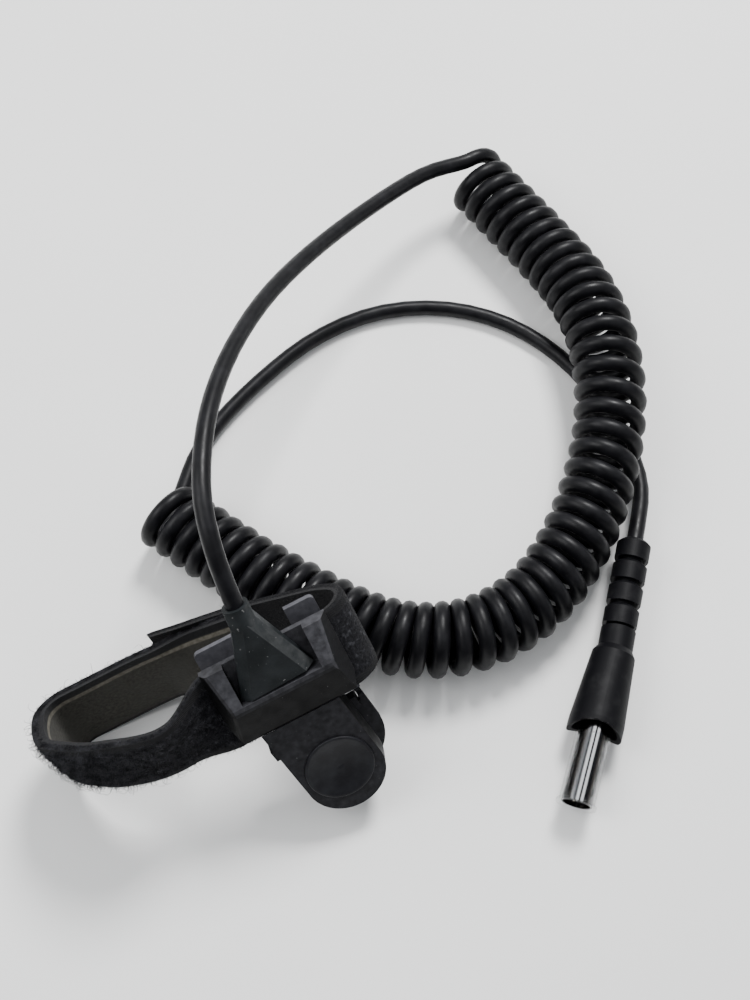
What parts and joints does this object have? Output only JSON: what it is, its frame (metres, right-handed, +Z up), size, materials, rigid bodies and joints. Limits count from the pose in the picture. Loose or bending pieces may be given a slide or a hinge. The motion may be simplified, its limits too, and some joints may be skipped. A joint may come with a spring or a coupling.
{
  "type": "wrist strap with coiled cord",
  "caption": "Soft adjustable wrist strap in a moulded bracket with a press-pad paddle and rear spring clip, and a long coiled cord ending in a round plug with a clear sleeve.",
  "frame": {"origin": "bottom centre of the strap, bracket and paddle as they lie on a table, measured without the cord and plug", "axes": "+Z up from the table; +X roughly across the bracket, towards the strap's tail bend; +Y away from the paddle, the way the cord leaves"},
  "size_m": [0.1782, 0.174, 0.0675],
  "materials": {
    "pile": "fuzzy dark loop pile",
    "lining": "brownish grey knit lining with a lighter line along one edge",
    "hooks": "dark hook tape",
    "black_plastic": "fine moulded grain",
    "black_rubber": "satin black moulded",
    "pad_rubber": "satin black",
    "steel": "stainless",
    "resistor": "lacquered",
    "copper": "bare copper",
    "board": "solder mask",
    "shell": "bright nickel plate",
    "pins": "plated",
    "clear": "clear plastic",
    "cord": "satin black cord jacket"
  },
  "bodies": {
    "body": {"strap_main": "pile", "strap_tail": "pile", "strap_lining": "lining", "tail_hooks": "hooks", "rear_plate": "black_plastic", "front_frame": "black_plastic", "cord_boot": "black_rubber", "boot_cuff": "black_rubber", "strap_rivets": "steel", "skin_contact": "steel", "contact_studs": "steel", "paddle_screws": "steel", "neck_pin": "steel", "hinge_pin": "steel", "clip_spring": "steel", "dome_contact": "steel", "safety_resistors": "resistor", "boot_wires": "copper", "switch_board": "board", "paddle_front": "black_plastic", "paddle_back": "black_plastic", "plug_body": "black_rubber", "plug_premould": "black_plastic", "plug_shell": "shell", "plug_insert": "black_plastic", "plug_pins": "pins", "strain_relief": "black_rubber", "lead_1": "cord", "coil": "cord", "lead_2": "cord"},
    "pad": {"press_pad": "pad_rubber"},
    "clip": {"rear_clip": "black_plastic"},
    "sleeve": {"clear_sleeve": "clear"}
  },
  "joints": [
    {"name": "pad_press", "type": "slide", "parent": "body", "child": "pad", "axis": [0.0768, 0.7657, -0.6387], "range_m": [0, 0.0008], "stiffness_N_per_m": 400, "springref_m": -0.0004},
    {"name": "clip_open", "type": "hinge", "parent": "body", "child": "clip", "pos_m": [0.01974, -0.00749, 0.01645], "axis": [0.9594, 0.1176, 0.2564], "range_deg": [0, 20], "stiffness_Nm_per_rad": 0.02, "springref_deg": -20.05},
    {"name": "sleeve_slide", "type": "slide", "parent": "body", "child": "sleeve", "axis": [-0.66, -0.7513, 0], "range_m": [0, 0.016]}
  ]
}
